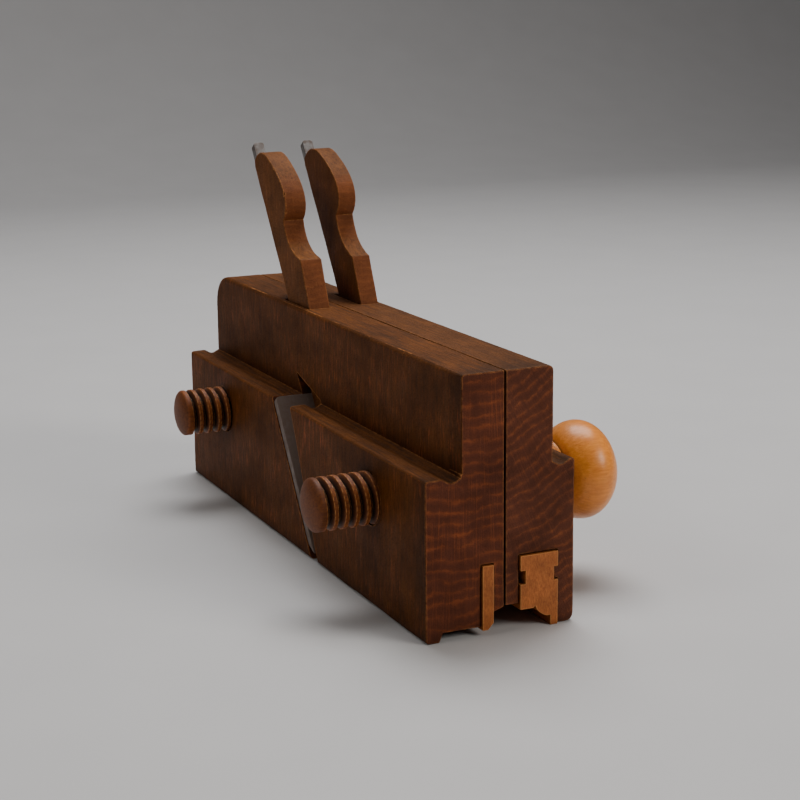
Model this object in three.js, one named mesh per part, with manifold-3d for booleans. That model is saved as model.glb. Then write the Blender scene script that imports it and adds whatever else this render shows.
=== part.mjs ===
// Twin-iron sash plane with screw arms: two beech halves that open and close on two boxwood screws,
// one half cutting the rabbet and the other the moulding of a window-sash bar.
// Millimetres. Everything is laid out with x = 0 on the joint between the halves, y = 0 on the toe
// face and z = 0 on the surface that the plane stands on; +Y runs from toe to heel and +Z is up.

import * as THREE from 'three';
import { mergeVertices } from 'three/addons/utils/BufferGeometryUtils.js';
import Module from 'manifold-3d';

// ---- driving dimensions ----

const LENGTH = 241.3;
const HEIGHT = 89.8;
const JOINT_GAP = 0.6;
const EDGE_CHAMFER = 1.6;
const HEEL_RADIUS = 15;
const TOE_RADIUS = 1.5;
const COVE = { width: 6.0, control: 2.9 };
const OVERCUT = 10;
const MERGE_DISTANCE = 1e-4;

// Each half is measured outwards from the joint; side is the direction of its outer face along x.
const RABBET_HALF = { side: -1, outer: 29.2, wall: 16.4, step: 55.7 };
const MOULDING_HALF = { side: 1, outer: 26.3, wall: 18.0, step: 57.3 };

const BOXING_PROUD = 1.0;
const SLOT_CLEARANCE = 0.2;
const RABBET_SOLE = { foot: 24.8, footTop: 22.8, level: 3.1, inner: 7.6, joint: 9.0 };
const RABBET_BOXING = { near: 4.6, far: 8.7, bottom: 2.0, nick: 4.3, nickWidth: 1.8, top: 24.5 };
const MOULDING_SOLE = { joint: 9.3, fenceRound: 4.0 };
const MOULDING_BOXING = { near: 5.5, far: 19.8, top: 26.0, notchLow: 16.0, notchHigh: 20.7,
  nearNotch: 7.4, farNotch: 18.3 };

// The moulding as (x, z), from the joint outwards: flat, quirk, ovolo, fillet, then the deep lip.
const MOULDING_PROFILE = {
  flat: [[MOULDING_BOXING.near, 7.1], [10.6, 7.1], [11.1, 7.8], [11.8, 6.4]],
  ovoloControl: [13.3, 4.4],
  fillet: [[15.5, 3.6], [17.0, 3.6]],
};

// Mouth, bed and mortise. The bed carries the iron; the front face carries the wedge.
const BED_ANGLE = THREE.MathUtils.degToRad(55.5);
const FRONT_ANGLE = THREE.MathUtils.degToRad(65.4);
const BED_FOOT = 101.5;
const FRONT_FOOT = 94.5;
const ESCAPEMENT_RISE = 7.7;
const RABBET_IRON_PLACE = { near: 4.6, mortiseNear: 4.9, mortiseFar: 14.3,
  tangNear: 7.5, tangFar: 12.0, wedgeDepth: 22.5 };
const MOULDING_IRON_PLACE = { near: 5.3, mortiseNear: 7.7, mortiseFar: 15.8,
  tangNear: 9.8, tangFar: 14.3, wedgeDepth: 25.5 };
const FIT_CLEARANCE = 0.3;

const IRON_THICKNESS = 3.4;
const IRON_SHOULDER_HEIGHT = 56.4;
const IRON_TOP_HEIGHT = 149.8;
const EDGE_PROJECTION = 0.35;
const EDGE_STEP_RUN = 1.0;
const EDGE_RELIEF_ANGLE = THREE.MathUtils.degToRad(22);

// The wedge's foot, and its head above the stock. Curve points are (distance up the iron from the
// stock's top, share of the head's full depth).
const WEDGE_TIP = { depth: 90, tipThickness: 1.5, slope: 12 };
const WEDGE_HEAD = {
  shoulder: 6.7,
  lip: { rise: 1.4, drop: 1.2 },
  curves: [
    { control: [14, 0.66], end: [20, 0.63] },
    { control: [24.5, 0.62], end: [28, 0.68] },
    { control: [29, 0.97], end: [36.5, 1] },
    { control: [44, 1], end: [57, 0.67] },
    { control: [66, 0.4], end: [63.5, 0.06] },
  ],
  back: 61,
};

const SCREW_HEIGHT = 38.9;
const FRONT_SCREW = { y: 45.5, rim: -50.0 };
const REAR_SCREW = { y: 197.0, rim: -47.5 };
const THREAD = { major: 9.5, root: 7.4, pitch: 4.0, crest: 1.3, valley: 0.3, end: 0.3, segments: 16 };
const TAP = { radial: 0.45, axial: 0.3, extraTurns: 2 };
const NO_CLEARANCE = { radial: 0, axial: 0, extraTurns: 0 };
const DOME = { height: 3.0, land: 0.9, steps: 5 };
const NECK = { undercut: 0.2, run: 1.0 };
const NECK_CLEARANCE = 0.4;
const COLLAR = { start: 26.6, bead: 12.0, beadWidth: 3.0, coveRun: 1.5, waist: 9.9, flare: 3.0,
  rim: 12.4, rimRound: 1.0, end: 43.0, quirk: 11.6 };
const KNOB = { centre: 54.5, radius: 18.2, back: 15.12, front: 12.6, backAngle: -0.72, steps: 12 };
const TURNED_SEGMENTS = 32;

// A pin driven down through the step crosses a groove in the screw's neck and keeps the screw in place.
const PIN = { radius: 2.0, x: 22.2, top: 56.0, bottom: 28.0, segments: 12 };
const PIN_HOLE_CLEARANCE = 0.3;
const GROOVE = { low: 19.8, high: 24.6, radius: 7.1, flank: 0.6 };

// ---- solids ----

const wasm = await Module();
wasm.setup();

function solidOf(geometry) {
  const bare = geometry.clone();
  bare.deleteAttribute('normal');
  bare.deleteAttribute('uv');
  const merged = mergeVertices(bare, MERGE_DISTANCE);
  const corners = Array.from(merged.index.array);
  const kept = [];
  for (let i = 0; i < corners.length; i += 3) {
    const [a, b, c] = corners.slice(i, i + 3);
    const collapsed = a === b || b === c || c === a;
    if (!collapsed) kept.push(a, b, c);
  }
  const vertProperties = new Float32Array(merged.attributes.position.array);
  const triVerts = new Uint32Array(kept);
  return new wasm.Manifold(new wasm.Mesh({ numProp: 3, vertProperties, triVerts }));
}

function geometryOf(solid) {
  const mesh = solid.getMesh();
  const geometry = new THREE.BufferGeometry();
  geometry.setAttribute('position', new THREE.BufferAttribute(mesh.vertProperties, 3));
  geometry.setIndex(new THREE.BufferAttribute(mesh.triVerts, 1));
  geometry.computeVertexNormals();
  return geometry;
}

function outline(points) {
  return new THREE.Shape(points.map(([a, b]) => new THREE.Vector2(a, b)));
}

function extrude(shape, depth, steps = 1) {
  return new THREE.ExtrudeGeometry(shape, { depth, steps, bevelEnabled: false, curveSegments: 5 });
}

// An (x, z) outline swept along the length of the plane.
function alongLength(shape, start, end) {
  const geometry = extrude(shape, end - start);
  geometry.rotateX(Math.PI / 2);
  geometry.translate(0, end, 0);
  return solidOf(geometry);
}

// Lays an outline's own axes along y and z, with its depth along x, between two distances from the
// joint on one side of it.
function layAcross(shape, half, near, far) {
  const geometry = extrude(shape, far - near);
  geometry.applyMatrix4(new THREE.Matrix4().makeBasis(
    new THREE.Vector3(0, 1, 0),
    new THREE.Vector3(0, 0, 1),
    new THREE.Vector3(1, 0, 0),
  ));
  geometry.translate(Math.min(half.side * near, half.side * far), 0, 0);
  return geometry;
}

function acrossHalf(shape, half, near, far) {
  return solidOf(layAcross(shape, half, near, far));
}

// A lathe profile of (radius, x) points turned about a screw's axis.
function turned(points, y, segments = TURNED_SEGMENTS) {
  const profile = points.map(([radius, x]) => new THREE.Vector2(radius, x));
  const geometry = new THREE.LatheGeometry(profile, segments);
  geometry.rotateZ(-Math.PI / 2);
  geometry.translate(0, y, SCREW_HEIGHT);
  return solidOf(geometry);
}

// ---- bed and mouth lines ----

function bedAt(z) {
  return [BED_FOOT + z / Math.tan(BED_ANGLE), z];
}

function frontAt(z) {
  return [FRONT_FOOT + z / Math.tan(FRONT_ANGLE), z];
}

function escapement(half, place) {
  const roof = half.step + 1;
  const shape = outline([
    frontAt(-OVERCUT), frontAt(roof), bedAt(half.step + ESCAPEMENT_RISE), bedAt(-OVERCUT),
  ]);
  return acrossHalf(shape, half, place.near, half.outer + OVERCUT);
}

function mortise(half, place) {
  const floor = half.step / 2;
  const roof = HEIGHT + OVERCUT;
  const shape = outline([frontAt(floor), frontAt(roof), bedAt(roof), bedAt(floor)]);
  return acrossHalf(shape, half, place.mortiseNear, place.mortiseFar);
}

function aheadOfMouth(half) {
  const shape = outline([
    [-OVERCUT, -OVERCUT], frontAt(-OVERCUT), frontAt(half.step), [-OVERCUT, half.step],
  ]);
  return acrossHalf(shape, half, 0, half.outer);
}

function behindMouth(half) {
  const heel = LENGTH + OVERCUT;
  const shape = outline([bedAt(-OVERCUT), [heel, -OVERCUT], [heel, half.step], bedAt(half.step)]);
  return acrossHalf(shape, half, 0, half.outer);
}

// ---- stock halves ----

// Joint face, top, upper wall, coved step and outer face; the caller carries on round the sole.
function upperOutline(half, jointBottom) {
  const { side, outer, wall, step } = half;
  const joint = JOINT_GAP / 2;
  const shape = new THREE.Shape();
  shape.moveTo(side * joint, jointBottom);
  shape.lineTo(side * joint, HEIGHT);
  shape.lineTo(side * (wall - EDGE_CHAMFER), HEIGHT);
  shape.lineTo(side * wall, HEIGHT - EDGE_CHAMFER);
  shape.lineTo(side * wall, step);
  const coveEnd = wall + COVE.width;
  const coveControl = wall + COVE.width / 2;
  shape.quadraticCurveTo(side * coveControl, step - COVE.control, side * coveEnd, step);
  shape.lineTo(side * (outer - EDGE_CHAMFER), step);
  shape.lineTo(side * outer, step - EDGE_CHAMFER);
  return shape;
}

function rabbetStockOutline() {
  const { side, outer } = RABBET_HALF;
  const { near, far, top } = RABBET_BOXING;
  const shape = upperOutline(RABBET_HALF, RABBET_SOLE.joint);
  const sole = [
    [outer, EDGE_CHAMFER], [outer - EDGE_CHAMFER, 0], [RABBET_SOLE.foot, 0],
    [RABBET_SOLE.footTop, RABBET_SOLE.level], [far + SLOT_CLEARANCE, RABBET_SOLE.level],
    [far + SLOT_CLEARANCE, top + SLOT_CLEARANCE], [near - SLOT_CLEARANCE, top + SLOT_CLEARANCE],
    [near - SLOT_CLEARANCE, RABBET_SOLE.inner],
  ];
  for (const [distance, z] of sole) shape.lineTo(side * distance, z);
  return shape;
}

function mouldingStockOutline() {
  const { outer } = MOULDING_HALF;
  const { near, far, top, notchLow, notchHigh, farNotch } = MOULDING_BOXING;
  const gap = SLOT_CLEARANCE;
  const shape = upperOutline(MOULDING_HALF, MOULDING_SOLE.joint);
  shape.lineTo(outer, MOULDING_SOLE.fenceRound);
  shape.quadraticCurveTo(outer, 0, outer - MOULDING_SOLE.fenceRound, 0);
  const slot = [
    [far + gap, 0], [far + gap, notchLow + gap], [farNotch + gap, notchLow + gap],
    [farNotch + gap, notchHigh - gap], [far + gap, notchHigh - gap], [far + gap, top + gap],
    [near - gap, top + gap], [near - gap, MOULDING_SOLE.joint],
  ];
  for (const [x, z] of slot) shape.lineTo(x, z);
  return shape;
}

// The side view that both halves are planed to: a rounded heel and an eased toe.
function sideView(half) {
  const shape = new THREE.Shape();
  shape.moveTo(0, 0);
  shape.lineTo(LENGTH, 0);
  shape.lineTo(LENGTH, HEIGHT - HEEL_RADIUS);
  shape.absarc(LENGTH - HEEL_RADIUS, HEIGHT - HEEL_RADIUS, HEEL_RADIUS, 0, Math.PI / 2);
  shape.lineTo(TOE_RADIUS, HEIGHT);
  shape.lineTo(0, HEIGHT - TOE_RADIUS);
  return acrossHalf(shape, half, 0, half.outer);
}

function stockHalf(half, shape, place) {
  return alongLength(shape, 0, LENGTH)
    .intersect(sideView(half))
    .subtract(escapement(half, place))
    .subtract(mortise(half, place));
}

function rabbetStock() {
  let stock = stockHalf(RABBET_HALF, rabbetStockOutline(), RABBET_IRON_PLACE);
  for (const screw of [FRONT_SCREW, REAR_SCREW]) {
    stock = stock.subtract(thread(screw, TAP));
  }
  return stock;
}

function mouldingStock() {
  let stock = stockHalf(MOULDING_HALF, mouldingStockOutline(), MOULDING_IRON_PLACE);
  const radius = THREAD.major + NECK_CLEARANCE;
  const outside = MOULDING_HALF.outer + OVERCUT;
  for (const screw of [FRONT_SCREW, REAR_SCREW]) {
    stock = stock.subtract(turned([[0, 0], [radius, 0], [radius, outside], [0, outside]], screw.y));
    stock = stock.subtract(pin(screw, PIN_HOLE_CLEARANCE, MOULDING_HALF.step + OVERCUT));
  }
  return stock;
}

// ---- boxing: hard wearing strips let into the sole, each cut in two by the mouth ----

function rabbetBoxing() {
  const { near, far, bottom, nick, nickWidth, top } = RABBET_BOXING;
  const shape = outline([
    [-far, bottom], [-near - nickWidth, bottom], [-near, nick], [-near, top], [-far, top],
  ]);
  return alongLength(shape, -BOXING_PROUD, LENGTH);
}

function mouldingBoxing() {
  const { near, far, top, notchLow, notchHigh, nearNotch, farNotch } = MOULDING_BOXING;
  const { flat, ovoloControl, fillet } = MOULDING_PROFILE;
  const shape = new THREE.Shape();
  shape.moveTo(...flat[0]);
  for (const point of flat.slice(1)) shape.lineTo(...point);
  shape.quadraticCurveTo(...ovoloControl, ...fillet[0]);
  const rest = [
    fillet[1], [fillet[1][0], 0], [far, 0], [far, notchLow], [farNotch, notchLow],
    [farNotch, notchHigh], [far, notchHigh], [far, top], [near, top],
    [near, notchHigh], [nearNotch, notchHigh], [nearNotch, notchLow], [near, notchLow],
  ];
  for (const point of rest) shape.lineTo(...point);
  return alongLength(shape, -BOXING_PROUD, LENGTH);
}

// ---- irons ----

// Distances up the bed, for a point on the iron's face at a given height.
function upBed(height) {
  const faceOffset = FIT_CLEARANCE + IRON_THICKNESS;
  return (height - faceOffset * Math.cos(BED_ANGLE)) / Math.sin(BED_ANGLE);
}

// Turns (x, distance up the bed, height off the bed) into the plane's frame.
function bedFrame() {
  const up = new THREE.Vector3(0, Math.cos(BED_ANGLE), Math.sin(BED_ANGLE));
  const off = new THREE.Vector3(0, -Math.sin(BED_ANGLE), Math.cos(BED_ANGLE));
  const frame = new THREE.Matrix4().makeBasis(new THREE.Vector3(1, 0, 0), up, off);
  return frame.setPosition(0, BED_FOOT, 0);
}

// Everything below the cutting edge: the edge's (x, z) outline on the iron's face, swept backwards
// and upwards at the relief angle. Squeezing z keeps the outline true where the sloping face cuts it.
function belowEdge(edge) {
  const [firstX, firstZ] = edge[0];
  const [lastX, lastZ] = edge[edge.length - 1];
  const left = firstX - OVERCUT;
  const right = lastX + OVERCUT;
  const drop = -2 * OVERCUT;
  const ahead = 2 * OVERCUT;
  const behind = 4 * OVERCUT;
  const body = extrude(
    outline([[left, drop], [right, drop], [right, lastZ], ...edge.toReversed(), [left, firstZ]]),
    ahead + behind,
  );
  body.rotateX(Math.PI / 2);
  body.translate(0, behind, 0);
  const relief = Math.tan(EDGE_RELIEF_ANGLE);
  const squeeze = 1 - relief / Math.tan(BED_ANGLE);
  body.applyMatrix4(new THREE.Matrix4().set(
    1, 0, 0, 0,
    0, 1, 0, 0,
    0, relief, squeeze, 0,
    0, 0, 0, 1,
  ));
  const faceFoot = BED_FOOT - (FIT_CLEARANCE + IRON_THICKNESS) / Math.sin(BED_ANGLE);
  body.translate(0, faceFoot, 0);
  return solidOf(body);
}

// A wide blade below and a narrow tang that runs up through the mortise, clear of its sides.
function iron(half, place, edge) {
  const { side, outer } = half;
  const gap = FIT_CLEARANCE;
  const foot = -OVERCUT;
  const shoulder = upBed(IRON_SHOULDER_HEIGHT);
  const top = upBed(IRON_TOP_HEIGHT);
  const plate = extrude(outline([
    [side * (place.near + gap), foot], [side * (outer - gap), foot],
    [side * (outer - gap), shoulder], [side * place.tangFar, shoulder],
    [side * place.tangFar, top], [side * place.tangNear, top],
    [side * place.tangNear, shoulder], [side * (place.near + gap), shoulder],
  ]), IRON_THICKNESS);
  plate.translate(0, 0, FIT_CLEARANCE);
  plate.applyMatrix4(bedFrame());
  return solidOf(plate).subtract(belowEdge(edge));
}

function rabbetIron() {
  const { near, far, bottom } = RABBET_BOXING;
  const deep = bottom - EDGE_PROJECTION;
  const level = RABBET_SOLE.level - EDGE_PROJECTION;
  const edge = [[-RABBET_HALF.outer, level], [-far, level], [-far + EDGE_STEP_RUN, deep], [-near, deep]];
  return iron(RABBET_HALF, RABBET_IRON_PLACE, edge);
}

function mouldingIron() {
  const { flat, ovoloControl, fillet } = MOULDING_PROFILE;
  const ovolo = new THREE.QuadraticBezierCurve(
    new THREE.Vector2(...flat[3]), new THREE.Vector2(...ovoloControl), new THREE.Vector2(...fillet[0]),
  );
  const curve = ovolo.getPoints(5).map((point) => [point.x, point.y]);
  const sole = [flat[0], flat[1], flat[2], ...curve, [MOULDING_HALF.outer, fillet[1][1]]];
  const edge = sole.map(([x, z]) => [x, z - EDGE_PROJECTION]);
  return iron(MOULDING_HALF, MOULDING_IRON_PLACE, edge);
}

// ---- wedges ----

// Outline in the bed's own directions: the first number runs up the iron from the level of the
// stock's top, the second stands off the iron's face. The front edge follows the mortise's front.
function wedgeOutline(headDepth) {
  const taper = Math.tan(FRONT_ANGLE - BED_ANGLE);
  const faceOffset = FIT_CLEARANCE + IRON_THICKNESS;
  const mouth = BED_FOOT - FRONT_FOOT;
  const mouthGap = mouth * Math.sin(BED_ANGLE);
  const bedStart = -mouth * Math.cos(BED_ANGLE);
  const frontEdge = (u) => mouthGap + (u + upBed(HEIGHT) - bedStart) * taper - faceOffset - FIT_CLEARANCE;
  const { depth, tipThickness, slope } = WEDGE_TIP;
  const { shoulder, lip, curves, back } = WEDGE_HEAD;
  const shape = new THREE.Shape();
  shape.moveTo(-depth, FIT_CLEARANCE);
  shape.lineTo(-depth, tipThickness);
  shape.lineTo(-depth + slope, frontEdge(-depth + slope));
  shape.lineTo(shoulder, frontEdge(shoulder));
  shape.lineTo(shoulder + lip.rise, frontEdge(shoulder) - lip.drop);
  for (const { control, end } of curves) {
    shape.quadraticCurveTo(control[0], control[1] * headDepth, end[0], end[1] * headDepth);
  }
  shape.lineTo(back, FIT_CLEARANCE);
  return shape;
}

function wedge(half, place) {
  const near = place.mortiseNear + FIT_CLEARANCE;
  const far = place.mortiseFar - FIT_CLEARANCE;
  const geometry = layAcross(wedgeOutline(place.wedgeDepth), half, near, far);
  geometry.rotateX(BED_ANGLE);
  const face = new THREE.Vector3(0, upBed(HEIGHT), FIT_CLEARANCE + IRON_THICKNESS);
  face.applyMatrix4(bedFrame());
  geometry.translate(0, face.y, face.z);
  return solidOf(geometry);
}

// ---- screws ----

// Bends a straight bar laid out as (x, radius, 0 to 1 along its length) into a right-handed helix.
function wrapAroundAxis(geometry, turns) {
  const position = geometry.attributes.position;
  for (let i = 0; i < position.count; i += 1) {
    const angle = position.getZ(i) * turns * 2 * Math.PI;
    const radius = position.getY(i);
    const x = position.getX(i) + position.getZ(i) * turns * THREAD.pitch;
    position.setXYZ(i, x, radius * Math.cos(angle), radius * Math.sin(angle));
  }
  return geometry;
}

// The threaded length of a screw; with the tap's clearances it is the cutter for the tapped hole.
function thread(screw, { radial, axial, extraTurns } = NO_CLEARANCE) {
  const root = THREAD.root + radial;
  const major = THREAD.major + radial;
  const slope = (THREAD.pitch - THREAD.crest - THREAD.valley) / 2 / (THREAD.major - THREAD.root);
  const halfWidth = (radius) => THREAD.crest / 2 + (THREAD.major - radius) * slope + axial;
  const start = screw.rim + DOME.land + THREAD.pitch / 2;
  const turns = Math.floor((THREAD.end - start) / THREAD.pitch) + extraTurns;
  const buried = root - THREAD.crest;
  const ridge = extrude(outline([
    [-halfWidth(root), buried], [halfWidth(root), buried], [halfWidth(root), root],
    [halfWidth(major), major], [-halfWidth(major), major], [-halfWidth(root), root],
  ]), 1, turns * THREAD.segments);
  wrapAroundAxis(ridge, turns);
  ridge.translate(start, screw.y, SCREW_HEIGHT);
  const core = [[0, screw.rim], [root, screw.rim], [root, THREAD.end], [0, THREAD.end]];
  return turned(core, screw.y, THREAD.segments).add(solidOf(ridge));
}

function domePoints(screw) {
  const points = [];
  for (let i = 0; i <= DOME.steps; i += 1) {
    const angle = (i / DOME.steps) * Math.PI / 2;
    points.push([THREAD.major * Math.sin(angle), screw.rim - DOME.height * Math.cos(angle)]);
  }
  points[0][0] = 0;
  const land = screw.rim + DOME.land;
  return [...points, [THREAD.major, land], [THREAD.root, land + 1], [0, land + 1]];
}

// Plain neck with the pin groove.
function neckPoints() {
  const { major, root, end } = THREAD;
  const { low, high, radius, flank } = GROOVE;
  const start = root - NECK.undercut;
  return [
    [0, end - NECK.run], [start, end - NECK.run], [start, end], [major, end + NECK.run],
    [major, low], [radius, low + flank], [radius, high - flank], [major, high],
    [major, COLLAR.start],
  ];
}

// The collar bears on the stock; a bead, a waist and a flared rim lead out to the knob.
function collarPoints() {
  const { start, bead, beadWidth, coveRun, waist, flare, rim, rimRound, end, quirk } = COLLAR;
  const beadEnd = start + beadWidth;
  return [
    [bead, start], [bead, beadEnd], [waist, beadEnd + coveRun], [waist, (beadEnd + end) / 2],
    [rim - rimRound, end - flare], [rim, end - rimRound], [quirk, end],
  ];
}

function knobPoints() {
  const { centre, radius, back, front, backAngle, steps } = KNOB;
  const points = [];
  for (let i = 1; i <= steps; i += 1) {
    const angle = backAngle + (i / steps) * (Math.PI / 2 - backAngle);
    const reach = angle < 0 ? back : front;
    points.push([radius * Math.cos(angle), centre + reach * Math.sin(angle)]);
  }
  points[steps - 1][0] = 0;
  return points;
}

function screw(place) {
  return thread(place)
    .add(turned(domePoints(place), place.y))
    .add(turned([...neckPoints(), ...collarPoints(), ...knobPoints()], place.y));
}

function pin(place, clearance = 0, top = PIN.top) {
  const radius = PIN.radius + clearance;
  const height = top - PIN.bottom + clearance;
  const geometry = new THREE.CylinderGeometry(radius, radius, height, PIN.segments);
  geometry.rotateX(Math.PI / 2);
  geometry.translate(PIN.x, place.y + THREAD.major, top - height / 2);
  return solidOf(geometry);
}

// ---- assembly ----

const BEECH = { color: 0x5a3218, roughness: 0.55, metalness: 0 };
const BOXWOOD = { color: 0xa8703a, roughness: 0.45, metalness: 0 };
const KNOB_BOXWOOD = { color: 0xc8842e, roughness: 0.35, metalness: 0 };
const STEEL = { color: 0x6f7275, roughness: 0.45, metalness: 1 };

const SCREW_TIP = FRONT_SCREW.rim - DOME.height;
const KNOB_TIP = KNOB.centre + KNOB.front;

const plane = new THREE.Group();
plane.position.set(-(SCREW_TIP + KNOB_TIP) / 2, -(LENGTH - BOXING_PROUD) / 2, 0);

function addPiece(name, solid, finish) {
  const mesh = new THREE.Mesh(geometryOf(solid), new THREE.MeshStandardMaterial(finish));
  mesh.name = name;
  plane.add(mesh);
}

addPiece('rabbet_stock', rabbetStock(), BEECH);
addPiece('moulding_stock', mouldingStock(), BEECH);
addPiece('rabbet_boxing_front', rabbetBoxing().intersect(aheadOfMouth(RABBET_HALF)), BOXWOOD);
addPiece('rabbet_boxing_rear', rabbetBoxing().intersect(behindMouth(RABBET_HALF)), BOXWOOD);
addPiece('moulding_boxing_front', mouldingBoxing().intersect(aheadOfMouth(MOULDING_HALF)), BOXWOOD);
addPiece('moulding_boxing_rear', mouldingBoxing().intersect(behindMouth(MOULDING_HALF)), BOXWOOD);
addPiece('rabbet_iron', rabbetIron(), STEEL);
addPiece('moulding_iron', mouldingIron(), STEEL);
addPiece('rabbet_wedge', wedge(RABBET_HALF, RABBET_IRON_PLACE), BEECH);
addPiece('moulding_wedge', wedge(MOULDING_HALF, MOULDING_IRON_PLACE), BEECH);
addPiece('front_screw', screw(FRONT_SCREW), KNOB_BOXWOOD);
addPiece('rear_screw', screw(REAR_SCREW), KNOB_BOXWOOD);
addPiece('front_screw_pin', pin(FRONT_SCREW), BOXWOOD);
addPiece('rear_screw_pin', pin(REAR_SCREW), BOXWOOD);

export default plane;
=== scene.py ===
"""Looks of the twin-iron sash plane with screw arms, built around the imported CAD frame."""

import math

import bmesh
import bpy
from mathutils import Matrix, Vector, noise


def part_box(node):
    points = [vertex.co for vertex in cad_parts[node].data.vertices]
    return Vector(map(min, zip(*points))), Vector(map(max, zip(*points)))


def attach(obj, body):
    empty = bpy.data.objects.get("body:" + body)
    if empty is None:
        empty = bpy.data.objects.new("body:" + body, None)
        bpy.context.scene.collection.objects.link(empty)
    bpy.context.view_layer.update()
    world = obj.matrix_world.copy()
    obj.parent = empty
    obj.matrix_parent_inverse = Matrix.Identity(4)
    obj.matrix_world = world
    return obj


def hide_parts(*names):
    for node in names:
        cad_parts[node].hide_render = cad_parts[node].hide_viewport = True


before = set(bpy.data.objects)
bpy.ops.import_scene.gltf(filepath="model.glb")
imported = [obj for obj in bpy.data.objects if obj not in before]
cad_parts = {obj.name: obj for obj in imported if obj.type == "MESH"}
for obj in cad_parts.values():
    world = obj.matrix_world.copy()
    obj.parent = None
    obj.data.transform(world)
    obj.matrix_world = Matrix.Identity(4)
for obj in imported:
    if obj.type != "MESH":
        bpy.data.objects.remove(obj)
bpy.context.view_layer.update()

# ---- the frame: joint line, toe and top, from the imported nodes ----

MM = 0.001
RABBET_LOW, RABBET_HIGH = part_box("rabbet_stock")
MOULDING_LOW, MOULDING_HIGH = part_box("moulding_stock")
JOINT_X = (RABBET_HIGH.x + MOULDING_LOW.x) / 2
TOE_Y = RABBET_LOW.y
LENGTH = (RABBET_HIGH.y - RABBET_LOW.y) / MM
HEIGHT = RABBET_HIGH.z / MM


def place(x, y, z):
    """A point given in millimetres from the joint, the toe and the standing surface."""
    return Vector((JOINT_X + x * MM, TOE_Y + y * MM, z * MM))


# ---- driving dimensions, in millimetres ----
# x runs from the joint, y from toe to heel and z up from the standing surface.

JOINT_GAP = 0.6
RABBET = {"side": -1, "outer": 29.2, "wall": 16.4, "step": 55.7}
MOULDING = {"side": 1, "outer": 26.3, "wall": 18.0, "step": 57.3}
HEEL_RADIUS = 15.0
# The worn toe end of the rabbet half's wall: (y, depth worn away).
TOE_WEAR = [(-2, 0.6), (0, 0.5), (8.5, 0)]

BED_ANGLE = math.radians(55.5)
FRONT_ANGLE = math.radians(65.4)
BED_FOOT = 101.5
FRONT_FOOT = 94.5
ESCAPEMENT_RISE = 7.7
MORTISE = {"low": 28, "high": 100, "back": 0.05}

BOXING_PROUD = 1.0

RABBET_IRON = {"near": 4.6, "mortise_near": 4.9, "mortise_far": 14.3, "tang": (7.5, 12.0)}
MOULDING_IRON = {"near": 5.3, "mortise_near": 7.7, "mortise_far": 15.8, "tang": (9.8, 14.3)}
FIT = 0.3
IRON_THICKNESS = 3.4
IRON_SHOULDER = 56.4
IRON_TOP = 149.8
EDGE_PROUD = 0.35
RELIEF_ANGLE = math.radians(22)

RABBET_WEDGE_HEAD = 22.5
MOULDING_WEDGE_HEAD = 25.5
WEDGE_SHOULDER = 6.7
# Flakes broken from the near front edge of the left head: (up, share of the head's depth, size).
WORN_CHIPS = (
    (29.2, 0.86, (1.0, 0.7, 1.5)), (32.0, 0.96, (0.8, 0.6, 1.1)), (36.5, 1.0, (0.7, 0.5, 1.6)),
    (43.0, 0.97, (0.6, 0.5, 1.0)), (50.5, 0.85, (0.6, 0.6, 1.4)),
)

SCREW_HEIGHT = 38.9
FRONT_SCREW = {"y": 45.5, "rim": -50.0}
REAR_SCREW = {"y": 197.0, "rim": -47.5}
DOME_HEIGHT = 3.0
THREAD = {"major": 9.5, "root": 7.4, "pitch": 4.0, "crest": 1.3, "valley": 0.3, "spacing": 0.16}
# The plain land behind the dome, the thread's rise out of it, and its end at the joint.
LAND = {"length": 0.9, "rise": 0.7}
THREAD_END = {"x": 0.3, "fade": 1.2}
TAP = {"clearance": 0.35, "low": -34.1, "high": 3.7, "segments": 56, "spacing": 0.29}
NECK_HOLE_RADIUS = 9.9
GROOVE = {"low": 19.8, "high": 24.6, "radius": 7.1, "flank": 0.6}
# The turned collar between the groove and the knob: (x, radius).
COLLAR = [
    (26.6, 11.2), (27.1, 12.0), (29.4, 12.0), (30.2, 11.0), (31.2, 10.2), (33.0, 9.8), (36.0, 9.8),
    (38.5, 10.3), (40.3, 11.2), (41.6, 12.2), (42.4, 12.5), (42.9, 12.2), (43.2, 11.5),
]
# The knob is two half ellipsoids; back and front are their lengths.
KNOB = {"centre": 54.5, "radius": 18.2, "back": 15.12, "front": 12.6, "first_angle": -0.74}
PIN = {"radius": 2.0, "x": 22.2, "top": 56.0, "bottom": 28.0, "chamfer": 0.25, "clearance": 0.3}

# How far cutters run past a face, and a reach that lies outside either half.
OVERRUN = 10
OUTSIDE = 40
# The smallest ring at the tip of a turned end.
POLE_RADIUS = 0.02
EDGE_ANGLE = math.radians(28)
THREAD_EDGE_ANGLE = math.radians(32)


# ---- mesh helpers ----

def object_from(name, bm):
    """A linked object from a mesh under construction, with its faces turned outward."""
    bmesh.ops.recalc_face_normals(bm, faces=bm.faces)
    mesh = bpy.data.meshes.new(name)
    bm.to_mesh(mesh)
    bm.free()
    piece = bpy.data.objects.new(name, mesh)
    bpy.context.scene.collection.objects.link(piece)
    return piece


def fillet(points, steps=4):
    """Outline points (a, b, radius) with each corner of nonzero radius turned into an arc."""
    rounded = []
    count = len(points)
    for index, (a, b, radius) in enumerate(points):
        corner = Vector((a, b))
        if radius == 0:
            rounded.append(corner)
            continue
        before = Vector(points[index - 1][:2]) - corner
        after = Vector(points[(index + 1) % count][:2]) - corner
        half_angle = before.angle(after) / 2
        setback = min(radius / math.tan(half_angle), 0.48 * before.length, 0.48 * after.length)
        start = corner + before.normalized() * setback
        end = corner + after.normalized() * setback
        for step in range(steps + 1):
            t = step / steps
            rounded.append((1 - t) ** 2 * start + 2 * t * (1 - t) * corner + t * t * end)
    return rounded


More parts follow.
